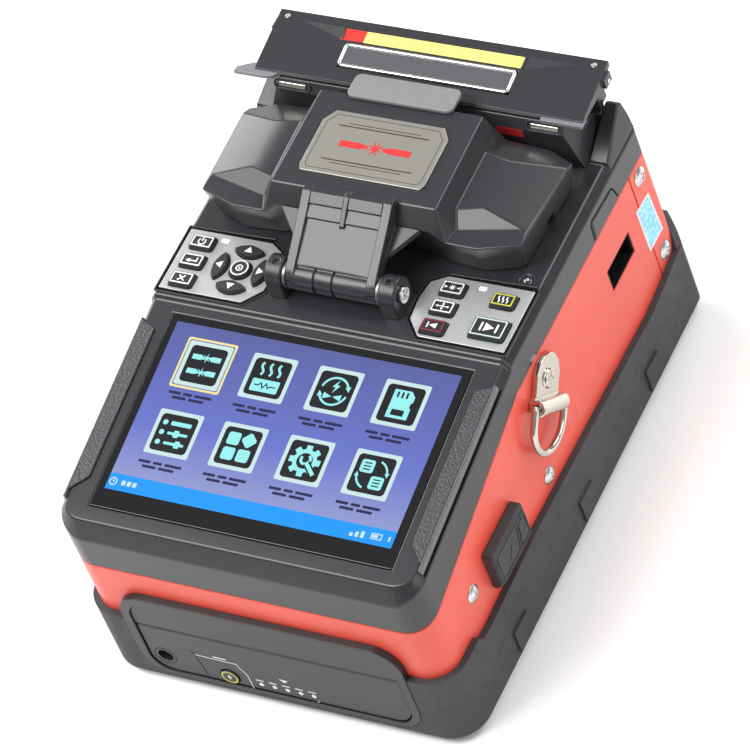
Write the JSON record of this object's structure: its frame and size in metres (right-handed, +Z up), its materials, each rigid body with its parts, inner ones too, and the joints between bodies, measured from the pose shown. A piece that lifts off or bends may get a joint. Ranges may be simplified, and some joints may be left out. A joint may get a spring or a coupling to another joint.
{
  "type": "fiber fusion splicer",
  "caption": "Portable fiber splicing machine with a sloped display end, keypads, a hinged windshield over the splice chamber, a sleeve heater and a rubber bumper.",
  "frame": {"origin": "on the resting plane, under the middle of the painted housing", "axes": "+X to the operator's right, +Y from the display end to the back, +Z up"},
  "size_m": [0.1486, 0.1988, 0.121],
  "materials": {
    "black_plastic": "satin dark grey moulding",
    "red_paint": "semi-gloss red-orange paint",
    "black_rubber": "matte black rubber",
    "grey_plastic": "satin light grey plastic",
    "display_glass": "glossy black panel glass",
    "display_panel": "lit display",
    "silver_plate": "brushed silver plate",
    "bright_steel": "bright machined steel",
    "chrome": "polished chrome",
    "key_rubber": "satin black silicone",
    "clear_window": "clear polycarbonate",
    "dark_metal": "black anodised metal",
    "white_ceramic": "white ceramic",
    "circuit_board": "green solder mask"
  },
  "bodies": {
    "chassis": {"bumper": "black_rubber", "base_plate": "dark_metal", "side_shell": "red_paint", "rear_panel": "red_paint", "top_frame": "black_plastic", "case_screws": "bright_steel", "lcd_lens": "display_glass", "lcd_panel": "display_panel", "grip_strips": "black_rubber", "key_plate_left": "silver_plate", "key_plate_right": "silver_plate", "hinge_shaft": "bright_steel", "hinge_bosses": "black_plastic", "hinge_washers": "bright_steel", "heater_body": "black_plastic", "heater_tray": "silver_plate", "heater_pins": "bright_steel", "heater_clips": "bright_steel", "strap_lugs": "chrome", "port_block": "black_plastic", "card_slot": "black_plastic", "battery_frame": "black_plastic", "bay_cover": "black_plastic", "splice_base": "dark_metal", "v_grooves": "white_ceramic", "electrodes": "dark_metal", "microscopes": "dark_metal", "feed_motors": "dark_metal", "main_board": "circuit_board"},
    "windshield": {"windshield": "black_plastic", "nameplate": "silver_plate", "lift_tab": "grey_plastic", "hinge_bracket": "black_plastic"},
    "heater_lid": {"heater_lid": "black_plastic", "heater_window": "clear_window", "lid_screws": "bright_steel"},
    "battery": {"battery_pack": "black_plastic", "charge_jack": "bright_steel", "charge_lights": "white_ceramic"},
    "battery_button": {"battery_button": "black_rubber"},
    "strap_ring_right": {"strap_ring_right": "chrome"},
    "strap_ring_left": {"strap_ring_left": "chrome"},
    "port_cover": {"port_cover": "black_rubber"},
    "carriage_left": {"carriage_left": "dark_metal"},
    "carriage_right": {"carriage_right": "dark_metal"},
    "sheath_lid_left": {"sheath_lid_left": "dark_metal"},
    "sheath_lid_right": {"sheath_lid_right": "dark_metal"},
    "power_key": {"power_key": "key_rubber"},
    "enter_key": {"enter_key": "key_rubber"},
    "cancel_key": {"cancel_key": "key_rubber"},
    "arc_key": {"arc_key": "key_rubber"},
    "view_key": {"view_key": "key_rubber"},
    "reset_key": {"reset_key": "key_rubber"},
    "heat_key": {"heat_key": "key_rubber"},
    "splice_key": {"splice_key": "key_rubber"},
    "up_key": {"up_key": "key_rubber"},
    "down_key": {"down_key": "key_rubber"},
    "left_key": {"left_key": "key_rubber"},
    "right_key": {"right_key": "key_rubber"},
    "ok_key": {"ok_key": "key_rubber"}
  },
  "joints": [
    {"name": "windshield_hinge", "type": "hinge", "parent": "chassis", "child": "windshield", "pos_m": [0, 0.005, 0.101], "axis": [1, 0, 0], "range_deg": [0, 95]},
    {"name": "heater_lid_hinge", "type": "hinge", "parent": "chassis", "child": "heater_lid", "pos_m": [0, 0.096, 0.1135], "axis": [-1, 0, 0], "range_deg": [0, 95]},
    {"name": "battery_slide", "type": "slide", "parent": "chassis", "child": "battery", "axis": [0, -1, 0], "range_m": [0, 0.115]},
    {"name": "battery_button_press", "type": "slide", "parent": "battery", "child": "battery_button", "axis": [0, 1, 0], "range_m": [0, 0.0008], "stiffness_N_per_m": 400},
    {"name": "port_cover_hinge", "type": "hinge", "parent": "chassis", "child": "port_cover", "pos_m": [0.0686, -0.0455, 0.036], "axis": [0, 1, 0], "range_deg": [0, 75]},
    {"name": "carriage_left_slide", "type": "slide", "parent": "chassis", "child": "carriage_left", "axis": [1, 0, 0], "range_m": [0, 0.003]},
    {"name": "carriage_right_slide", "type": "slide", "parent": "chassis", "child": "carriage_right", "axis": [-1, 0, 0], "range_m": [0, 0.003]},
    {"name": "sheath_lid_left_hinge", "type": "hinge", "parent": "carriage_left", "child": "sheath_lid_left", "pos_m": [-0.029, 0.058, 0.095], "axis": [-1, 0, 0], "range_deg": [0, 70]},
    {"name": "sheath_lid_right_hinge", "type": "hinge", "parent": "carriage_right", "child": "sheath_lid_right", "pos_m": [0.029, 0.058, 0.095], "axis": [-1, 0, 0], "range_deg": [0, 70]},
    {"name": "strap_ring_right_swing", "type": "hinge", "parent": "chassis", "child": "strap_ring_right", "pos_m": [0.0714, -0.00125, 0.06372], "axis": [0, -0.7547, 0.6561], "range_deg": [0, 150]},
    {"name": "strap_ring_left_swing", "type": "hinge", "parent": "chassis", "child": "strap_ring_left", "pos_m": [-0.0714, -0.00125, 0.06372], "axis": [0, 0.7547, -0.6561], "range_deg": [0, 150]},
    {"name": "power_key_press", "type": "slide", "parent": "chassis", "child": "power_key", "axis": [0, 0, -1], "range_m": [0, 0.0008], "stiffness_N_per_m": 400},
    {"name": "enter_key_press", "type": "slide", "parent": "chassis", "child": "enter_key", "axis": [0, 0, -1], "range_m": [0, 0.0008], "stiffness_N_per_m": 400},
    {"name": "cancel_key_press", "type": "slide", "parent": "chassis", "child": "cancel_key", "axis": [0, 0, -1], "range_m": [0, 0.0008], "stiffness_N_per_m": 400},
    {"name": "arc_key_press", "type": "slide", "parent": "chassis", "child": "arc_key", "axis": [0, 0, -1], "range_m": [0, 0.0008], "stiffness_N_per_m": 400},
    {"name": "view_key_press", "type": "slide", "parent": "chassis", "child": "view_key", "axis": [0, 0, -1], "range_m": [0, 0.0008], "stiffness_N_per_m": 400},
    {"name": "reset_key_press", "type": "slide", "parent": "chassis", "child": "reset_key", "axis": [0, 0, -1], "range_m": [0, 0.0008], "stiffness_N_per_m": 400},
    {"name": "heat_key_press", "type": "slide", "parent": "chassis", "child": "heat_key", "axis": [0, 0, -1], "range_m": [0, 0.0008], "stiffness_N_per_m": 400},
    {"name": "splice_key_press", "type": "slide", "parent": "chassis", "child": "splice_key", "axis": [0, 0, -1], "range_m": [0, 0.0008], "stiffness_N_per_m": 400},
    {"name": "up_key_press", "type": "slide", "parent": "chassis", "child": "up_key", "axis": [0, 0, -1], "range_m": [0, 0.0008], "stiffness_N_per_m": 400},
    {"name": "down_key_press", "type": "slide", "parent": "chassis", "child": "down_key", "axis": [0, 0, -1], "range_m": [0, 0.0008], "stiffness_N_per_m": 400},
    {"name": "left_key_press", "type": "slide", "parent": "chassis", "child": "left_key", "axis": [0, 0, -1], "range_m": [0, 0.0008], "stiffness_N_per_m": 400},
    {"name": "right_key_press", "type": "slide", "parent": "chassis", "child": "right_key", "axis": [0, 0, -1], "range_m": [0, 0.0008], "stiffness_N_per_m": 400},
    {"name": "ok_key_press", "type": "slide", "parent": "chassis", "child": "ok_key", "axis": [0, 0, -1], "range_m": [0, 0.0008], "stiffness_N_per_m": 400}
  ]
}
